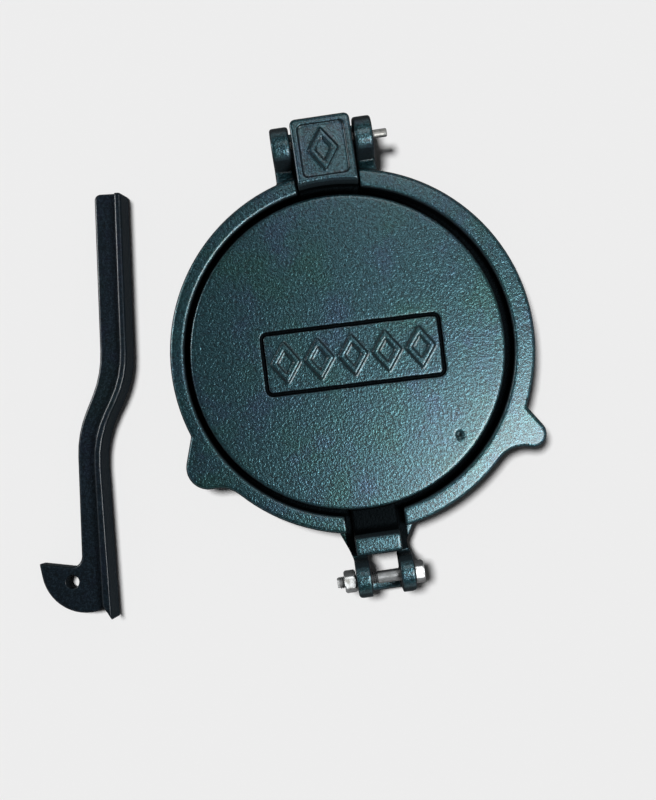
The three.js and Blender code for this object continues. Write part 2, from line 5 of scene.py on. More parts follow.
import bmesh
import bpy
from bpy.props import FloatProperty, FloatVectorProperty, PointerProperty
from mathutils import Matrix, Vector


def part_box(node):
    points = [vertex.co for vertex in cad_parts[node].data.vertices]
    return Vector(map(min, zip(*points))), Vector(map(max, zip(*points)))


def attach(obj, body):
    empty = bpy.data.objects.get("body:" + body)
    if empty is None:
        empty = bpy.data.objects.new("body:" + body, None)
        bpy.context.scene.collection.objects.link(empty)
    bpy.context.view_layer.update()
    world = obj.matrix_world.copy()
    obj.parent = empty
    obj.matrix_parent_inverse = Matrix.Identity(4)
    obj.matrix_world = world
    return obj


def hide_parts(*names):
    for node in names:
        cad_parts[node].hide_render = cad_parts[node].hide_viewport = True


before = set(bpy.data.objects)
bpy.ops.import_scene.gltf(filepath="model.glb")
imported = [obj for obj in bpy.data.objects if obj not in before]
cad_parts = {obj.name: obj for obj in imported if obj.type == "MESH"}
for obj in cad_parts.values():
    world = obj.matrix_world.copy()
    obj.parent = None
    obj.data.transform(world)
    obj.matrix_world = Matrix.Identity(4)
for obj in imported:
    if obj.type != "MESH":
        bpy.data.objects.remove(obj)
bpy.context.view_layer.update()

bl_info = {
    "name": "Roti press",
    "version": (1, 0, 0),
    "blender": (4, 5, 0),
    "location": "3D View > Sidebar > Roti press",
    "description": "A cast-iron hand press for flatbreads, its cam lever and their stage",
    "category": "Object",
}

MM = 0.001
# Places nearer to each other than this are one place.
SAME_PLACE = MM / 1000
# A direction follows an axis when its share along that axis is more than this.
ALIGNED = 0.9
# How far one solid runs into another that it joins or cuts.
OVERRUN = 1 * MM

# The press stands in the frame by these: its middle is the middle of the rim's outline.
lid_low, lid_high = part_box("lid_casting")
bolt_low, bolt_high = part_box("lever_bolt")
nut_low, nut_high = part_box("lever_nut")
pin_low, pin_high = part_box("hinge_pin")
DISC_SETOVER = 2 * MM
BOLT_REACH = 91 * MM
BOLT_LINE = (bolt_low + bolt_high) / 2
PIN_LINE = (pin_low + pin_high) / 2
MIDDLE = Vector(((lid_low.x + lid_high.x) / 2 + DISC_SETOVER, BOLT_LINE.y + BOLT_REACH, 0))

# The lid, with the lozenges of its ornament and the small flaw in its casting.
DISC_TOP = 23.3 * MM
PAD_TOP = lid_high.z
LOZENGE_RISE = 0.9 * MM
LOZENGE_WIDTH = 13 * MM
PIT_ACROSS = 37.5 * MM
PIT_ALONG = -39.5 * MM
PIT_LIFT_SHARE = 0.6
PIT_STRETCH = (1, 1.3, 1)

# The pan with its pressing face, and the notch in its rim, which the lid's tongue lies in.
FACE_TOP = 20 * MM
FACE_RADIUS = 61 * MM
PAN_SETOVER = 1.3 * MM
PAN_MIDDLE = MIDDLE - Vector((PAN_SETOVER, 0, 0))
PAN_RADIUS = 66.2 * MM
RIM_RADIUS = 73.3 * MM
RIM_FOOT = 17.5 * MM
NOTCH_SETOVER = 1 * MM
NOTCH_MIDDLE = MIDDLE - Vector((NOTCH_SETOVER, 0, 0))
NOTCH_WIDTH = 24 * MM
NOTCH_START = 60 * MM
NOTCH_END = 83 * MM

# How finely each casting is remeshed, as a share of the casting detail.
BASE_VOXEL_SHARE = 1.25
LID_VOXEL_SHARE = 1
LEVER_VOXEL_SHARE = 0.5

# Bolt, nut and pin.
FLAT_TO_FLAT = 8 * MM
BOLT_RADIUS = 2.5 * MM
HEAD_THICKNESS = 3.5 * MM
TIP_ROUNDING = 0.3 * MM
SLOT_WIDTH = 13 * MM
HOLE_CLEARANCE = 0.1 * MM
PIN_ROUNDING = 0.5 * MM
THREAD_LEAD = 0.4 * MM
# Parts of the thread, as shares of its pitch.
RUNOUT_SHARE = 0.5
ROOT_SHARE = 0.6
RIDGE_DEPTH_SHARE = 0.55
RIDGE_WIDTH_SHARE = 0.94

# The enamel's finish.
SIDE_ROUGHNESS = 0.85
SOOT_AND_SHADE_ROUGHNESS = 0.6
DARK_REFLECTION = 0.05
COAT = 0.5
COAT_ROUGHNESS = 0.27
# From one drift of colour to the other, so that they don't fall on the same spots.
PATCH_SHIFT = (0.31, 0.17, 0.07)


def paint(red, green, blue):
    """A colour given as a screen shows it, 0 to 255, for a shader."""
    shares = (red / 255, green / 255, blue / 255)
    linear = [s / 12.92 if s <= 0.04045 else ((s + 0.055) / 1.055) ** 2.4 for s in shares]
    return (*linear, 1.0)


def length(name, description, default):
    """A length in metres for the panel."""
    return FloatProperty(
        name=name,
        description=description,
        default=default,
        min=0,
        precision=5,
        subtype="DISTANCE",
        unit="LENGTH",
    )


def colour(name, description, default):
    """A colour for the panel."""
    return FloatVectorProperty(
        name=name,
        description=description,
        default=default,
        size=4,
        min=0,
        max=1,
        subtype="COLOR",
    )


class RotiPressSizes(bpy.types.PropertyGroup):
    """Sizes that the frame leaves open"""

    enamel_grain: length("Enamel grain", "Width of one dimple in the enamel", 1.1 * MM)
    enamel_depth: length("Enamel depth", "Height of the grain in the enamel", 0.45 * MM)
    # Black iron and painted shade start this far below the lid's top.
    soot_and_shade_depth: length("Soot depth", "How far below the lid's top the black iron and painted shade begin", 0.5 * MM)
    casting_voxel: length("Casting detail", "Size of the smallest form on the lid", 0.4 * MM)
    lozenge_border: length("Lozenge border", "Width of the border of a lozenge", 1.6 * MM)
    lozenge_sink: length("Lozenge sink", "Depth of the sunk face of a lozenge", 0.8 * MM)
    pit_radius: length("Pit radius", "Size of the casting flaw in the lid", 2.2 * MM)
    scratch_depth: length("Scratch depth", "Depth of the scratches in the plating", 0.03 * MM)
    thread_pitch: length("Thread pitch", "Pitch of the bolt's thread", 0.8 * MM)
    thread_length: length("Thread length", "Length of the bolt's thread", 16 * MM)


class RotiPressColours(bpy.types.PropertyGroup):
    """Colours of the finishes"""

    enamel: colour("Enamel", "Main colour of the press", paint(30, 65, 73))
    enamel_green: colour("Green patches", "Greener patches in the enamel", paint(27, 67, 66))
    enamel_blue: colour("Blue patches", "Bluer patches in the enamel", paint(37, 61, 80))
    enamel_fleck: colour("Flecks", "Pale flecks in the enamel", paint(66, 108, 119))
    lever_enamel: colour("Lever enamel", "Main colour of the lever", paint(17, 28, 36))
    lever_green: colour("Green on the lever", "Greener patches on the lever", paint(16, 30, 34))
    lever_blue: colour("Blue on the lever", "Bluer patches on the lever", paint(22, 28, 42))
    lever_fleck: colour("Lever flecks", "Pale flecks in the lever's enamel", paint(52, 68, 80))
    worn_iron: colour("Worn iron", "Iron where the enamel has rubbed off", paint(128, 134, 136))
    # Painted shade: the colour for sides that face away from the light above.
    shade: colour("Side shade", "Shade painted on the enamel's sides, which face away from the light", paint(9, 18, 23))
    # Black iron and painted shade in the pan and the rim's gaps; also the dark of the grain's
    # dimples and of the stains on the pressing faces.
    soot_and_shade: colour("Soot and shade", "Black iron and painted shade inside the pan, under the lid and in the rim's gaps", paint(9, 13, 15))
    pressing_iron: colour("Pressing faces", "The faces that press the dough", paint(66, 70, 72))
    zinc: colour("Zinc", "Plating on the bolt and the nut", paint(212, 215, 216))
    zinc_dull: colour("Dull zinc", "Plating that has gone dull", paint(150, 150, 146))
    # Painted shade: the colour for the hollows of the plating.
    zinc_hollow_shade: colour("Shaded hollows on plating", "Painted shade in the hollows of the plating", paint(40, 40, 38))
    # Painted shade: the colour for the sides of the plated pieces.
    plating_side_shade: colour("Painted plating shade", "Grime on the sides of the plated pieces", paint(36, 39, 41))
    grease: colour("Grease", "Grease on the bolt, where the lever turns on it", paint(96, 100, 102))
    floor: colour("Floor", "The floor and what lies beyond it", paint(238, 238, 238))


class RotiPressSettings(bpy.types.PropertyGroup):
    """Everything about the press that can be changed"""

    sizes: PointerProperty(type=RotiPressSizes)
    colours: PointerProperty(type=RotiPressColours)


def settings():
    """What the panel says at the moment."""
    return bpy.context.scene.roti_press


# Selecting and shaping


def only(piece):
    """Selects one object and nothing else."""
    for other in bpy.context.selected_objects:
        other.select_set(False)
    piece.select_set(True)
    bpy.context.view_layer.objects.active = piece


@contextmanager
def editing(piece, kind):
    """Edit mode on one piece, with nothing selected, by vertices, edges or faces."""
    only(piece)
    bpy.ops.object.mode_set(mode="EDIT")
    bpy.ops.mesh.select_mode(type=kind)
    bpy.ops.mesh.select_all(action="DESELECT")
    yield
    bpy.ops.object.mode_set(mode="OBJECT")


def pick(piece, test, kind):
    """Selects the faces or edges of the piece in edit mode that pass a test."""
    mesh = bmesh.from_edit_mesh(piece.data)
    for element in getattr(mesh, kind):
        element.select_set(test(element))
    bmesh.update_edit_mesh(piece.data)


def label(piece, name):
    """Names an object and its mesh alike."""
    piece.name = name
    piece.data.name = name


def settle(piece):
    """Puts the piece's place, turn and scale into its mesh."""
    only(piece)
    bpy.ops.object.transform_apply(location=True, rotation=True, scale=True)
    return piece


def modify(piece, kind, **values):
    """Adds a modifier with these values and applies it."""
    only(piece)
    bpy.ops.object.modifier_add(type=kind)
    added = piece.modifiers[-1]
    for name, value in values.items():
        setattr(added, name, value)
    bpy.ops.object.modifier_apply(modifier=added.name)


def combine(piece, other, operation):
    """Joins, cuts or keeps the overlap of two solids, and removes the second."""
    modify(piece, "BOOLEAN", operation=operation, object=other, solver="EXACT")
    bpy.data.objects.remove(other)


def smooth_shaded(piece, degrees=None):
    """Shades the piece smooth, except at edges sharper than this angle."""
    only(piece)
    if degrees is None:
        bpy.ops.object.shade_smooth()
    else:
        bpy.ops.object.shade_smooth_by_angle(angle=math.radians(degrees))


def casting(node):
    """A copy of a CAD casting with its loose triangles merged."""
    copy = bpy.data.objects.new(node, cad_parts[node].data.copy())
    bpy.context.scene.collection.objects.link(copy)
    with editing(copy, "VERT"):
        bpy.ops.mesh.select_all(action="SELECT")
        bpy.ops.mesh.remove_doubles(threshold=SAME_PLACE)
    return copy


def soften(piece, voxel, rounds, most_triangles):
    """Runs the casting's forms into each other with the fillets that iron takes from its mould."""
    modify(piece, "REMESH", mode="VOXEL", voxel_size=voxel, adaptivity=0)
    modify(piece, "SMOOTH", factor=0.5, iterations=rounds)
    triangles = 2 * len(piece.data.polygons)
    if triangles > most_triangles:
        ratio = most_triangles / triangles
        modify(piece, "DECIMATE", decimate_type="COLLAPSE", ratio=ratio)
    smooth_shaded(piece)


def finish_piece(piece, name, material, body, slot, *nodes):
    """Gives the piece its name, its material, its body and the CAD nodes that it stands for."""
    label(piece, name)
    piece.data.materials.clear()
    piece.data.materials.append(material)
    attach(piece, body)
    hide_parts(*nodes)


# Shader nodes


def feed(tree, node, inputs):
    """Links or sets a node's sockets, by name or number."""
    for name, value in inputs.items():
        if isinstance(value, bpy.types.NodeSocket):
            tree.links.new(value, node.inputs[name])
        else:
            node.inputs[name].default_value = value


def add_node(tree, kind, inputs=None, **values):
    """Adds a node with these values and feeds its sockets."""
    node = tree.nodes.new(kind)
    for name, value in values.items():
        setattr(node, name, value)
    feed(tree, node, inputs or {})
    return node


def calculated(tree, operation, first, second=0.0):
    """A number worked out from one or two others."""
    return add_node(tree, "ShaderNodeMath", {0: first, 1: second}, operation=operation).outputs[0]


def any_of(tree, *masks):
    """A mask of what one mask or another covers."""
    return reduce(lambda first, second: calculated(tree, "MAXIMUM", first, second), masks)


def all_of(tree, *masks):
    """A mask of what all the masks cover."""
    return reduce(lambda first, second: calculated(tree, "MULTIPLY", first, second), masks)


def vector_math(tree, operation, vector, other=(0, 0, 0)):
    """What an operation makes of one vector or two, as sockets."""
    inputs = {0: vector, 1: other}
    return add_node(tree, "ShaderNodeVectorMath", inputs, operation=operation).outputs


def axes(tree, vector):
    """The shares of a vector along X, Y and Z, as sockets."""
    return add_node(tree, "ShaderNodeSeparateXYZ", {0: vector}).outputs


def noise(tree, vector, scale, detail, roughness):
    """A value that drifts about a half from place to place."""
    inputs = {"Vector": vector, "Scale": scale, "Detail": detail, "Roughness": roughness}
    return add_node(tree, "ShaderNodeTexNoise", inputs).outputs["Fac"]


def between(tree, value, low, high, to_low=0.0, to_high=1.0):
    """A value spread smoothly from one range to another."""
    inputs = {
        "Value": value,
        "From Min": low,
        "From Max": high,
        "To Min": to_low,
        "To Max": to_high,
    }
    spread = add_node(tree, "ShaderNodeMapRange", inputs, interpolation_type="SMOOTHSTEP")
    return spread.outputs["Result"]


def laid_over(tree, under, over, mask, share=1.0):
    """One colour over another where the mask is, as strongly as the share says."""
    inputs = {0: calculated(tree, "MULTIPLY", mask, share), 6: under, 7: over}
    return add_node(tree, "ShaderNodeMix", inputs, data_type="RGBA").outputs[2]


def new_group(name, inputs, outputs):
    """A shader node group, its input sockets and the node that its outputs are fed to."""
    tree = bpy.data.node_groups.new(name, "ShaderNodeTree")
    for sockets, side in ((inputs, "INPUT"), (outputs, "OUTPUT")):
        for socket, kind in sockets.items():
            tree.interface.new_socket(socket, in_out=side, socket_type="NodeSocket" + kind)
    return tree, tree.nodes.new("NodeGroupInput").outputs, tree.nodes.new("NodeGroupOutput")


def place_group(tree, group, inputs):
    """Places a node group in a material, and gives what it puts out."""
    return add_node(tree, "ShaderNodeGroup", inputs, node_tree=group).outputs


def hammered_grain():
    """Dimples, flecks and fine sand of hammered enamel."""
    name = "hammered grain"
    if name in bpy.data.node_groups:
        return bpy.data.node_groups[name]
    tree, entry, leave = new_group(
        name,
        {"Vector": "Vector", "Grain": "Float"},
        {"Height": "Float", "Fleck": "Float", "Dimple": "Float"},
    )
    frequency = calculated(tree, "DIVIDE", 1.0, entry["Grain"])
    scaling = {0: entry["Vector"], "Scale": frequency}
    vector = add_node(tree, "ShaderNodeVectorMath", scaling, operation="SCALE").outputs[0]
    blobs = noise(tree, vector, scale=0.9, detail=1, roughness=0.5)
    sand = noise(tree, vector, scale=2, detail=1, roughness=0.5)

    def mixed(blob_share, sand_share):
        """So much of the blobs and so much of the sand."""
        from_blobs = calculated(tree, "MULTIPLY", blobs, blob_share)
        from_sand = calculated(tree, "MULTIPLY", sand, sand_share)
        return calculated(tree, "ADD", from_blobs, from_sand)

    height = mixed(blob_share=0.5, sand_share=0.35)
    speck = mixed(blob_share=0.4, sand_share=0.6)
    fleck = between(tree, speck, low=0.47, high=0.65)
    dimple = between(tree, speck, low=0.5, high=0.36)
    feed(tree, leave, {"Height": height, "Fleck": fleck, "Dimple": dimple})
    return tree


def patchy_tone():
    """A colour that drifts between three over the casting."""
    name = "patchy tone"
    if name in bpy.data.node_groups:
        return bpy.data.node_groups[name]
    tree, entry, leave = new_group(
        name,
        {"Vector": "Vector", "Main": "Color", "Second": "Color", "Third": "Color"},
        {"Color": "Color"},
    )
    elsewhere = vector_math(tree, "ADD", entry["Vector"], PATCH_SHIFT)["Vector"]
    broad = noise(tree, entry["Vector"], scale=38, detail=3, roughness=0.6)
    small = noise(tree, elsewhere, scale=55, detail=4, roughness=0.65)
    in_second = between(tree, broad, low=0.45, high=0.72)
    in_third = between(tree, small, low=0.48, high=0.74)
    tone = laid_over(tree, entry["Main"], entry["Second"], in_second)
    tone = laid_over(tree, tone, entry["Third"], in_third)
    feed(tree, leave, {"Color": tone})
    return tree


def rubbed_edges_and_shaded_hollows():
    """Where edges are rubbed, and the hollows where painted shade goes."""
    name = "rubbed edges"
    if name in bpy.data.node_groups:
        return bpy.data.node_groups[name]
    tree, entry, leave = new_group(
        name,
        {"Vector": "Vector", "Amount": "Float"},
        {"Edge": "Float", "Hollow": "Float"},
    )
    pointed = add_node(tree, "ShaderNodeNewGeometry").outputs["Pointiness"]
    broken = noise(tree, entry["Vector"], scale=260, detail=4, roughness=0.7)
    edge = all_of(
        tree,
        between(tree, pointed, low=0.53, high=0.62),
        between(tree, broken, low=0.4, high=0.62),
        entry["Amount"],
    )
    hollow_shade = between(tree, pointed, low=0.497, high=0.457)
    feed(tree, leave, {"Edge": edge, "Hollow": hollow_shade})
    return tree


def shaded_sides():
    """How far a surface faces sideways or down, away from the light above: the mask for painted
    shade on sides.
    """
    name = "sprayed sides"
    if name in bpy.data.node_groups:
        return bpy.data.node_groups[name]
    tree, entry, leave = new_group(name, {"Flat": "Float", "Steep": "Float"}, {"Side": "Float"})
    normal = add_node(tree, "ShaderNodeTexCoord").outputs["Normal"]
    side = between(tree, axes(tree, normal)["Z"], entry["Flat"], entry["Steep"])
    feed(tree, leave, {"Side": side})
    return tree


def plating_wear():
    """Where plating is dull, rough, scratched and, on the bolt in the lever's slot, greasy."""
    name = "plating wear"
    if name in bpy.data.node_groups:
        return bpy.data.node_groups[name]
    tree, entry, leave = new_group(
        name,
        {"Vector": "Vector"},
        {"Dull": "Float", "Rough": "Float", "Scratch": "Float", "Grease": "Float"},
    )
    patches = noise(tree, entry["Vector"], scale=420, detail=3, roughness=0.6)
    dull = between(tree, patches, low=0.42, high=0.7)
    rough = between(tree, patches, low=0.35, high=0.7, to_low=0.42, to_high=0.6)
    drawn_out = {"Vector": entry["Vector"], "Scale": (1, 9, 9)}
    lengthwise = add_node(tree, "ShaderNodeMapping", drawn_out).outputs[0]
    scratch = noise(tree, lengthwise, scale=900, detail=3, roughness=0.6)
    from_middle = calculated(tree, "SUBTRACT", axes(tree, entry["Vector"])["X"], MIDDLE.x)
    from_middle = calculated(tree, "ABSOLUTE", from_middle)
    grease = between(tree, from_middle, SLOT_WIDTH / 2, SLOT_WIDTH / 2 - 1 * MM)
    feed(tree, leave, {"Dull": dull, "Rough": rough, "Scratch": scratch, "Grease": grease})
    return tree


# Materials


def new_material(name):
    """A new material, its tree and its shader."""
    material = bpy.data.materials.new(name)
    material.use_nodes = True
    return material, material.node_tree, material.node_tree.nodes["Principled BSDF"]


def bumped(tree, height, strength, distance):
    """A normal that follows a height."""
    inputs = {"Height": height, "Strength": strength, "Distance": distance}
    return add_node(tree, "ShaderNodeBump", inputs).outputs["Normal"]


def away_from(tree, vector, middle):
    """How far a spot is from an upright line, and its place from there along X and Y."""
    across = vector_math(tree, "SUBTRACT", vector, middle)["Vector"]
    level = vector_math(tree, "MULTIPLY", across, (1, 1, 0))["Vector"]
    return vector_math(tree, "LENGTH", level)["Value"], axes(tree, level)


def soot_and_shade_masks(tree, vector):
    """Two masks: black iron and painted shade inside the pan, under the lid and in the rim's gaps
    and notch, and in it the pressing faces, which use has rubbed grey."""
    blur = 0.4 * MM

    def within(value, limit, width=blur):
        """What is less than the limit, fading in over this width."""
        return between(tree, value, limit, limit - width)

    height = axes(tree, vector)["Z"]
    from_pan, _ = away_from(tree, vector, PAN_MIDDLE)
    from_notch, spot = away_from(tree, vector, NOTCH_MIDDLE)
    from_line = calculated(tree, "ABSOLUTE", spot["X"])
    in_pan = within(from_pan, PAN_RADIUS + 2 * blur)
    above_foot = between(tree, height, RIM_FOOT + blur, RIM_FOOT + 2 * blur)
    in_rim = all_of(tree, within(from_notch, RIM_RADIUS - 4 * blur), above_foot)
    in_notch = all_of(
        tree,
        within(from_line, NOTCH_WIDTH / 2 + 2 * blur),
        within(spot["Y"], -NOTCH_START),
        within(from_notch, NOTCH_END),
    )
    below_top = within(height, DISC_TOP - settings().sizes.soot_and_shade_depth)
    soot_and_shade = all_of(tree, below_top, any_of(tree, in_pan, in_rim, in_notch))
    face = all_of(tree, within(from_pan, FACE_RADIUS, 2 * blur), within(height, FACE_TOP))
    return soot_and_shade, face


def enamel(name, main, second, third, fleck, wear, roughness, sheen, has_soot_and_shade):
    """Hammered enamel on cast iron: patchy and flecked, with a metallic sheen under a thin coat,
    rough on the sides, with painted shade on the sides and in the hollows, and, where asked, black
    iron and painted shade inside the pan."""
    if name in bpy.data.materials:
        return bpy.data.materials[name]
    sizes = settings().sizes
    colours = settings().colours
    material, tree, shader = new_material(name)
    vector = add_node(tree, "ShaderNodeTexCoord").outputs["Object"]
    drift = {"Vector": vector, "Main": main, "Second": second, "Third": third}
    tone = place_group(tree, patchy_tone(), drift)["Color"]
    grain = place_group(tree, hammered_grain(), {"Vector": vector, "Grain": sizes.enamel_grain})
    edges = place_group(tree, rubbed_edges_and_shaded_hollows(), {"Vector": vector, "Amount": wear})
    side = place_group(tree, shaded_sides(), {"Flat": 0.97, "Steep": 0.6})["Side"]
    tone = laid_over(tree, tone, colours.soot_and_shade, grain["Dimple"], share=0.6)
    tone = laid_over(tree, tone, fleck, grain["Fleck"], share=0.28)
    # Painted shade on the sides, which face away from the light above.
    tone = laid_over(tree, tone, colours.shade, side, share=0.9)
    # Painted shade in the hollows, where the mesh is concave.
    tone = laid_over(tree, tone, colours.soot_and_shade, edges["Hollow"], share=0.8)
    tone = laid_over(tree, tone, colours.worn_iron, edges["Edge"])
    low, high = roughness
    rough = between(tree, grain["Height"], low=0.3, high=0.55, to_low=low, to_high=high)
    rough_side = calculated(tree, "MULTIPLY", side, SIDE_ROUGHNESS)
    rough = calculated(tree, "MAXIMUM", rough, rough_side)
    if has_soot_and_shade:
        soot_and_shade, face = soot_and_shade_masks(tree, vector)
        blotches = noise(tree, vector, scale=45, detail=5, roughness=0.65)
        stain = between(tree, blotches, low=0.42, high=0.68)
        pressed = laid_over(tree, colours.pressing_iron, colours.soot_and_shade, stain, share=0.6)
        pressed = laid_over(tree, pressed, colours.worn_iron, grain["Fleck"], share=0.35)
        # Black iron and painted shade: the pan, the lid's underside and the rim's gaps and notch go
        # black.
        tone = laid_over(tree, tone, colours.soot_and_shade, soot_and_shade)
        tone = laid_over(tree, tone, pressed, face)
        rough_soot_and_shade = calculated(tree, "MULTIPLY", soot_and_shade, SOOT_AND_SHADE_ROUGHNESS)
        rough = calculated(tree, "MAXIMUM", rough, rough_soot_and_shade)
        metal = between(tree, soot_and_shade, 0.0, 1.0, sheen, 1.0)
        uncoated = any_of(tree, side, soot_and_shade)
    else:
        metal = between(tree, side, 0.0, 1.0, sheen, 0.0)
        uncoated = side
        feed(tree, shader, {"Specular IOR Level": DARK_REFLECTION})
    looks = {
        "Base Color": tone,
        "Roughness": rough,
        "Metallic": metal,
        "Coat Weight": between(tree, uncoated, 0.0, 1.0, COAT, 0.0),
        "Coat Roughness": COAT_ROUGHNESS,
        "Normal": bumped(tree, grain["Height"], 1.0, sizes.enamel_depth),
    }
    feed(tree, shader, looks)
    return material


def press_enamel():
    """The teal enamel of the base and the lid."""
    colours = settings().colours
    return enamel(
        "hammered enamel",
        colours.enamel,
        colours.enamel_green,
        colours.enamel_blue,
        colours.enamel_fleck,
        wear=0.3,
        roughness=(0.35, 0.3),
        sheen=0.7,
        has_soot_and_shade=True,
    )


def lever_enamel():
    """The darker enamel of the lever."""
    colours = settings().colours
    return enamel(
        "dark hammered enamel",
        colours.lever_enamel,
        colours.lever_green,
        colours.lever_blue,
        colours.lever_fleck,
        wear=0.05,
        roughness=(0.46, 0.4),
        sheen=0.3,
        has_soot_and_shade=False,
    )


def plated(name, bright, dull):
    """Zinc plating, dulled in patches and finely scratched, greasy in the lever's slot, with
    painted shade in its hollows and on its sides.
    """
    if name in bpy.data.materials:
        return bpy.data.materials[name]
    colours = settings().colours
    material, tree, shader = new_material(name)
    vector = add_node(tree, "ShaderNodeTexCoord").outputs["Object"]
    worn = place_group(tree, plating_wear(), {"Vector": vector})
    edges = place_group(tree, rubbed_edges_and_shaded_hollows(), {"Vector": vector, "Amount": 1.0})
    side = place_group(tree, shaded_sides(), {"Flat": 0.85, "Steep": 0.5})["Side"]
    tone = laid_over(tree, bright, dull, worn["Dull"])
    # Painted shade in the hollows of the plating.
    tone = laid_over(tree, tone, colours.zinc_hollow_shade, edges["Hollow"], share=0.5)
    tone = laid_over(tree, tone, colours.grease, worn["Grease"], share=0.75)
    # Painted shade on the sides of the plated pieces.
    tone = laid_over(tree, tone, colours.plating_side_shade, side, share=0.8)
    looks = {
        "Base Color": tone,
        "Roughness": worn["Rough"],
        "Metallic": 0.6,
        "Normal": bumped(tree, worn["Scratch"], 0.5, settings().sizes.scratch_depth),
    }
    feed(tree, shader, looks)
    return material


def zinc_plate():
    """The bright plating of the bolt and the nut."""
    return plated("zinc plate", settings().colours.zinc, settings().colours.zinc_dull)


def dull_plate():
    """The duller plating of the hinge pin."""
    return plated("dull plate", settings().colours.zinc_dull, settings().colours.grease)


# Castings


class ROTIPRESS_OT_base_casting(bpy.types.Operator):
    """Make the base casting, with the fillets and hammered enamel of the real one"""

    bl_idname = "roti_press.base_casting"
    bl_label = "Base casting"

    def execute(self, context):
        base = casting("base_casting")
        voxel = settings().sizes.casting_voxel * BASE_VOXEL_SHARE
        soften(base, voxel, rounds=4, most_triangles=180000)
        finish_piece(
            base,
            "base_casting_enamelled",
            press_enamel(),
            "base",
            "enamelled_iron",
            "base_casting",
        )
        return {"FINISHED"}


def is_lozenge_top(face):
    """Whether a face is the top of a lozenge, in the panel's row or on the hinge pad."""
    if face.normal.z < ALIGNED:
        return False
    nearly_level = LOZENGE_RISE / 10
    corners = [vertex.co for vertex in face.verts]
    if abs(corners[0].z - DISC_TOP - LOZENGE_RISE) < nearly_level:
        return True
    inside_field = max(abs(co.x - MIDDLE.x) for co in corners) < LOZENGE_WIDTH / 2
    return inside_field and corners[0].z > PAD_TOP - nearly_level


def sink_lozenges(lid, border, depth):
    """Sinks the face of each lozenge inside a raised border."""
    with editing(lid, "FACE"):
        pick(lid, is_lozenge_top, "faces")
        bpy.ops.mesh.inset(thickness=border)
        bpy.ops.mesh.inset(thickness=depth / 2)
        bpy.ops.transform.translate(value=(0, 0, -depth))


def dent(lid, radius):
    """Leaves the small flaw of the casting in the lid's top."""
    height = DISC_TOP + PIT_LIFT_SHARE * radius
    bpy.ops.mesh.primitive_ico_sphere_add(
        subdivisions=3,
        radius=radius,
        location=MIDDLE + Vector((PIT_ACROSS, PIT_ALONG, height)),
        scale=PIT_STRETCH,
    )
    combine(lid, settle(bpy.context.object), "DIFFERENCE")


class ROTIPRESS_OT_lid_casting(bpy.types.Operator):
    """Make the lid casting, with sunk faces in the lozenges of its ornament"""

    bl_idname = "roti_press.lid_casting"
    bl_label = "Lid casting"

    def execute(self, context):
        sizes = settings().sizes
        lid = casting("lid_casting")
        sink_lozenges(lid, sizes.lozenge_border, sizes.lozenge_sink)
        dent(lid, sizes.pit_radius)
        soften(lid, sizes.casting_voxel * LID_VOXEL_SHARE, rounds=4, most_triangles=190000)
        finish_piece(
            lid,
            "lid_casting_enamelled",
            press_enamel(),
            "lid",
            "enamelled_iron",
            "lid_casting",
        )
        return {"FINISHED"}


class ROTIPRESS_OT_lever_casting(bpy.types.Operator):
    """Make the cam lever, with rounded edges and dark enamel"""

    bl_idname = "roti_press.lever_casting"
    bl_label = "Lever casting"

    def execute(self, context):
        lever = casting("lever_casting")
        voxel = settings().sizes.casting_voxel * LEVER_VOXEL_SHARE
        soften(lever, voxel, rounds=18, most_triangles=170000)
        finish_piece(
            lever,
            "lever_casting_enamelled",
            lever_enamel(),
            "lever",
            "dark_enamelled_iron",
            "lever_casting",
        )
        return {"FINISHED"}


# Bolt, nut and pin


def rod_along_x(radius, low, high, line, sides=48):
    """A round bar along X between two places, about a line."""
    bpy.ops.mesh.primitive_cylinder_add(
        vertices=sides,
        radius=radius,
        depth=high - low,
        location=((low + high) / 2, line.y, line.z),
        rotation=(0, math.pi / 2, 0),
    )
    return settle(bpy.context.object)


def lies_at(edge, x):
    """Whether both ends of an edge lie at this place along X."""
    return all(abs(vertex.co.x - x) < SAME_PLACE for vertex in edge.verts)


def lies_along_x(edge):
    """Whether an edge runs along X."""
    first, second = edge.verts
    return abs((first.co - second.co).normalized().x) > ALIGNED


def round_ends(bar, offset, steps, low=True, high=True):
    """Bevels the edges round the ends of a bar along X."""
    places = [vertex.co.x for vertex in bar.data.vertices]
    ends = [min(places)] * low + [max(places)] * high
    with editing(bar, "EDGE"):
        pick(bar, lambda edge: any(lies_at(edge, end) for end in ends), "edges")
        bpy.ops.mesh.bevel(offset=offset, segments=steps, affect="EDGES")


def hexagon(low, high, line, flat, chamfer_low, chamfer_high):
    """A hexagon along X, a flat uppermost, its corners chamfered at the ends asked for."""
    corner = flat / math.sqrt(3)
    corner_rounding = flat / 60
    prism = rod_along_x(corner, low, high, line, sides=6)
    with editing(prism, "EDGE"):
        pick(prism, lies_along_x, "edges")
        bpy.ops.mesh.bevel(offset=corner_rounding, segments=2, affect="EDGES")
    # What the prism and a drum with chamfered ends share: the chamfer bites a little into the
    # flats, and the drum clears the corners elsewhere.
    chamfer = (corner - flat / 2 * 0.98) * 1.05
    drum_radius = corner * 1.01
    drum_low = low if chamfer_low else low - OVERRUN
    drum_high = high if chamfer_high else high + OVERRUN
    drum = rod_along_x(drum_radius, drum_low, drum_high, line)
    round_ends(drum, chamfer, 1, chamfer_low, chamfer_high)
    combine(prism, drum, "INTERSECT")
    return prism


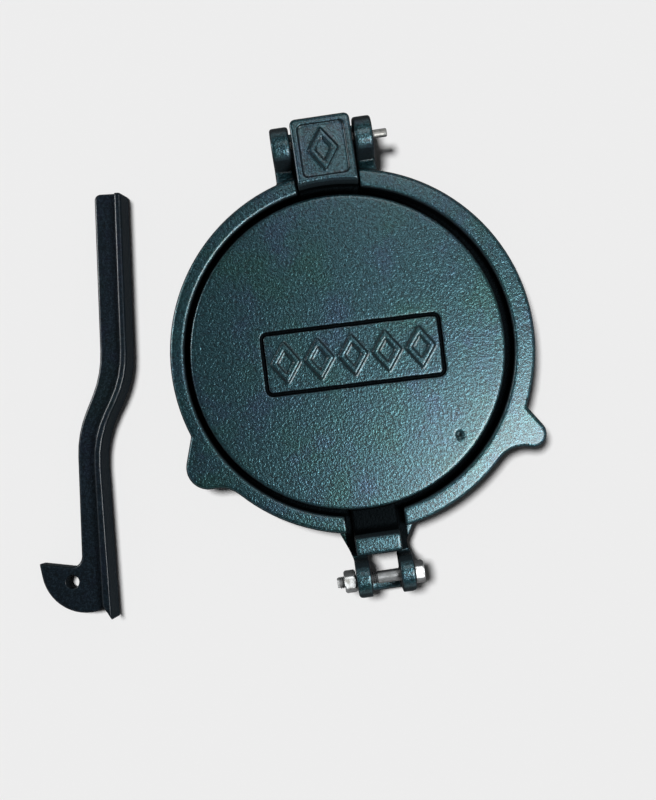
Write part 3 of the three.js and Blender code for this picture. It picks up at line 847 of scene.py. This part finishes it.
def thread(radius, low, high, line, pitch):
    """A ridge wound round a bar along X."""
    depth = pitch * RIDGE_DEPTH_SHARE
    width = pitch * RIDGE_WIDTH_SHARE
    quarter_turn = math.pi / 2
    around = 32
    bpy.ops.mesh.primitive_circle_add(vertices=4, radius=0.5, fill_type="NOTHING")
    ridge = bpy.context.object
    with editing(ridge, "VERT"):
        bpy.ops.mesh.select_all(action="SELECT")
        bpy.ops.transform.resize(value=(depth * 2, width, 1), center_override=(0, 0, 0))
        bpy.ops.transform.rotate(value=quarter_turn, orient_axis="X", center_override=(0, 0, 0))
        bpy.ops.transform.translate(value=(radius - depth, 0, 0))
    modify(
        ridge,
        "SCREW",
        axis="Z",
        angle=4 * quarter_turn,
        screw_offset=pitch,
        iterations=int((high - low) / pitch),
        steps=around,
        render_steps=around,
        use_merge_vertices=False,
        use_smooth_shade=False,
    )
    with editing(ridge, "VERT"):
        bpy.ops.mesh.select_all(action="SELECT")
        bpy.ops.mesh.remove_doubles(threshold=SAME_PLACE / 10)
        bpy.ops.mesh.fill_holes(sides=0)
        bpy.ops.mesh.select_all(action="SELECT")
        bpy.ops.mesh.normals_make_consistent(inside=False)
    ridge.rotation_euler = (0, quarter_turn, 0)
    ridge.location = (low + pitch / 2, line.y, line.z)
    return settle(ridge)


def threaded_bolt(pitch, thread_length):
    """The bolt: a shank with its head, a thinner core at its end and the thread round that."""
    head_start = bolt_high.x - HEAD_THICKNESS
    thread_end = bolt_low.x + thread_length
    shank = rod_along_x(BOLT_RADIUS, thread_end, head_start + OVERRUN, BOLT_LINE)
    round_ends(shank, pitch * RUNOUT_SHARE, 1, high=False)
    root = BOLT_RADIUS - pitch * ROOT_SHARE
    core = rod_along_x(root, bolt_low.x, thread_end + OVERRUN, BOLT_LINE)
    round_ends(core, TIP_ROUNDING, 2, high=False)
    ridge = thread(BOLT_RADIUS, bolt_low.x + THREAD_LEAD, thread_end, BOLT_LINE, pitch)
    head = hexagon(head_start, bolt_high.x, BOLT_LINE, FLAT_TO_FLAT, False, True)
    for part in (head, core, ridge):
        combine(shank, part, "UNION")
    return shank


def bored_nut():
    """The nut, chamfered on both sides, with the hole that the bolt goes through."""
    nut = hexagon(nut_low.x, nut_high.x, BOLT_LINE, FLAT_TO_FLAT, True, True)
    hole_radius = BOLT_RADIUS + HOLE_CLEARANCE
    hole = rod_along_x(hole_radius, nut_low.x - OVERRUN, nut_high.x + OVERRUN, BOLT_LINE)
    combine(nut, hole, "DIFFERENCE")
    return nut


class ROTIPRESS_OT_fasteners(bpy.types.Operator):
    """Make the hexagon bolt with its thread, and its nut"""

    bl_idname = "roti_press.fasteners"
    bl_label = "Bolt and nut"

    def execute(self, context):
        sizes = settings().sizes
        bolt = threaded_bolt(sizes.thread_pitch, sizes.thread_length)
        made = (
            (bolt, "lever_bolt_threaded", "lever_bolt"),
            (bored_nut(), "lever_nut_chamfered", "lever_nut"),
        )
        for piece, name, node in made:
            smooth_shaded(piece, 30)
            finish_piece(piece, name, zinc_plate(), "base", "zinc_plated_steel", node)
        return {"FINISHED"}


class ROTIPRESS_OT_hinge_pin(bpy.types.Operator):
    """Make the hinge pin, with its rounded ends"""

    bl_idname = "roti_press.hinge_pin"
    bl_label = "Hinge pin"

    def execute(self, context):
        radius = (pin_high.z - pin_low.z) / 2
        pin = rod_along_x(radius, pin_low.x, pin_high.x, PIN_LINE)
        round_ends(pin, PIN_ROUNDING, 3)
        smooth_shaded(pin, 40)
        finish_piece(
            pin,
            "hinge_pin_plated",
            dull_plate(),
            "base",
            "zinc_plated_steel",
            "hinge_pin",
        )
        return {"FINISHED"}


# Stage


def wide_floor():
    """The pale floor that everything lies on."""
    bpy.ops.mesh.primitive_circle_add(vertices=96, radius=4, fill_type="NGON", location=(0, 0, 0))
    floor = settle(bpy.context.object)
    label(floor, "floor")
    material, tree, shader = new_material("pale floor")
    plain = {"Base Color": settings().colours.floor, "Roughness": 0.8, "Specular IOR Level": 0.2}
    feed(tree, shader, plain)
    floor.data.materials.append(material)
    return floor


def place_light(data, towards, place, floor, on_floor):
    """Puts a light in the scene. It lights either the floor alone or everything but the floor."""
    light = bpy.data.objects.new(data.name, data)
    bpy.context.scene.collection.objects.link(light)
    light.location = place
    light.rotation_euler = towards.to_track_quat("Z", "Y").to_euler()
    light.visible_camera = False
    linked = bpy.data.collections.new("linked to the " + data.name)
    linked.objects.link(floor)
    state = "INCLUDE" if on_floor else "EXCLUDE"
    linked.collection_objects[0].light_linking.link_state = state
    light.light_linking.receiver_collection = linked


def lamp(name, aim, direction, distance, size, level, floor):
    """A square soft lamp that lights a level surface at the aim to this share of full light."""
    data = bpy.data.lights.new(name, "AREA")
    data.size = size
    towards = Vector(direction).normalized()
    # Full light is pi, at which a colour renders as it is written. A lamp's power spreads over
    # pi times its distance squared, and on a level surface it thins out with the slant.
    data.energy = level * math.pi**2 * distance**2 / towards.z
    place_light(data, towards, aim + towards * distance, floor, on_floor=False)


def daylight(name, direction, spread, level, floor):
    """Even light on the whole floor, at this share of full light, with soft shadows."""
    data = bpy.data.lights.new(name, "SUN")
    data.angle = spread
    towards = Vector(direction).normalized()
    data.energy = level * math.pi / towards.z
    place_light(data, towards, towards, floor, on_floor=True)


def pale_world(level, horizon, walls, ceiling):
    """Soft light from all round. The camera and shiny surfaces see a room that is pale at the
    horizon, dark above it and a little paler again straight overhead."""
    world = bpy.data.worlds.new("pale room")
    bpy.context.scene.world = world
    world.use_nodes = True
    tree = world.node_tree
    tree.nodes.clear()
    rays = add_node(tree, "ShaderNodeLightPath").outputs
    seen = any_of(
        tree,
        rays["Is Camera Ray"],
        rays["Is Glossy Ray"],
        rays["Is Transmission Ray"],
    )
    direction = add_node(tree, "ShaderNodeTexCoord").outputs["Generated"]
    height = axes(tree, direction)["Z"]
    room = laid_over(tree, horizon, walls, between(tree, height, low=0.2, high=0.6))
    room = laid_over(tree, room, ceiling, between(tree, height, low=0.8, high=0.95))
    plain = add_node(tree, "ShaderNodeBackground", {"Color": (1, 1, 1, 1), "Strength": level})
    pale = add_node(tree, "ShaderNodeBackground", {"Color": room, "Strength": 1.0})
    either = {0: seen, 1: plain.outputs[0], 2: pale.outputs[0]}
    mixed = add_node(tree, "ShaderNodeMixShader", either)
    add_node(tree, "ShaderNodeOutputWorld", {"Surface": mixed.outputs[0]})


def overhead_camera():
    """The photograph's view, from straight above and a little turned."""
    data = bpy.data.cameras.new("camera")
    data.sensor_fit = "AUTO"
    data.sensor_width = 36
    data.lens = 69.75
    camera = bpy.data.objects.new("camera", data)
    camera.location = MIDDLE + Vector((-12.64 * MM, -17.95 * MM, 644 * MM))
    camera.rotation_euler = (0, 0, math.radians(-8.4))
    bpy.context.scene.collection.objects.link(camera)
    bpy.context.scene.camera = camera


class ROTIPRESS_OT_stage(bpy.types.Operator):
    """Make the pale floor, the lamps, the world and the camera"""

    bl_idname = "roti_press.stage"
    bl_label = "Stage"

    def execute(self, context):
        floor = wide_floor()
        aim = Vector((MIDDLE.x, MIDDLE.y, FACE_TOP))
        lamps = (
            ("key lamp", (0.17, -0.15, 0.4), {"distance": 0.3, "size": 0.11, "level": 0.92}),
            ("back lamp", (0.14, 0.42, 0.7), {"distance": 0.34, "size": 0.12, "level": 0.16}),
            ("left lamp", (-0.9, 0.3, 0.25), {"distance": 0.5, "size": 0.12, "level": 0.13}),
        )
        for name, direction, light in lamps:
            lamp(name, aim, direction, floor=floor, **light)
        daylight("daylight", (-0.17, 0.16, 1.0), spread=0.16, level=0.95, floor=floor)
        pale_world(
            level=0.04,
            horizon=settings().colours.floor,
            walls=(0.01, 0.01, 0.01, 1),
            ceiling=(0.07, 0.07, 0.07, 1),
        )
        overhead_camera()
        context.scene.view_settings.view_transform = "Standard"
        return {"FINISHED"}


class ROTIPRESS_PT_panel(bpy.types.Panel):
    """The press's sizes, colours and pieces"""

    bl_idname = "ROTIPRESS_PT_panel"
    bl_label = "Roti press"
    bl_space_type = "VIEW_3D"
    bl_region_type = "UI"
    bl_category = "Roti press"

    def draw(self, context):
        press = context.scene.roti_press
        for group in (press.sizes, press.colours):
            box = self.layout.box()
            for name in group.__annotations__:
                box.prop(group, name)
        for operator in OPERATORS:
            self.layout.operator(operator.bl_idname)


OPERATORS = (
    ROTIPRESS_OT_stage,
    ROTIPRESS_OT_base_casting,
    ROTIPRESS_OT_lid_casting,
    ROTIPRESS_OT_lever_casting,
    ROTIPRESS_OT_fasteners,
    ROTIPRESS_OT_hinge_pin,
)
CLASSES = (RotiPressSizes, RotiPressColours, RotiPressSettings, *OPERATORS, ROTIPRESS_PT_panel)


def register():
    for cls in CLASSES:
        bpy.utils.register_class(cls)
    bpy.types.Scene.roti_press = PointerProperty(type=RotiPressSettings)


def unregister():
    del bpy.types.Scene.roti_press
    for cls in reversed(CLASSES):
        bpy.utils.unregister_class(cls)


def main():
    register()
    bpy.ops.roti_press.stage()
    bpy.ops.roti_press.base_casting()
    bpy.ops.roti_press.lid_casting()
    bpy.ops.roti_press.lever_casting()
    bpy.ops.roti_press.fasteners()
    bpy.ops.roti_press.hinge_pin()
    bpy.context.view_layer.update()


if __name__ == "__main__":
    main()
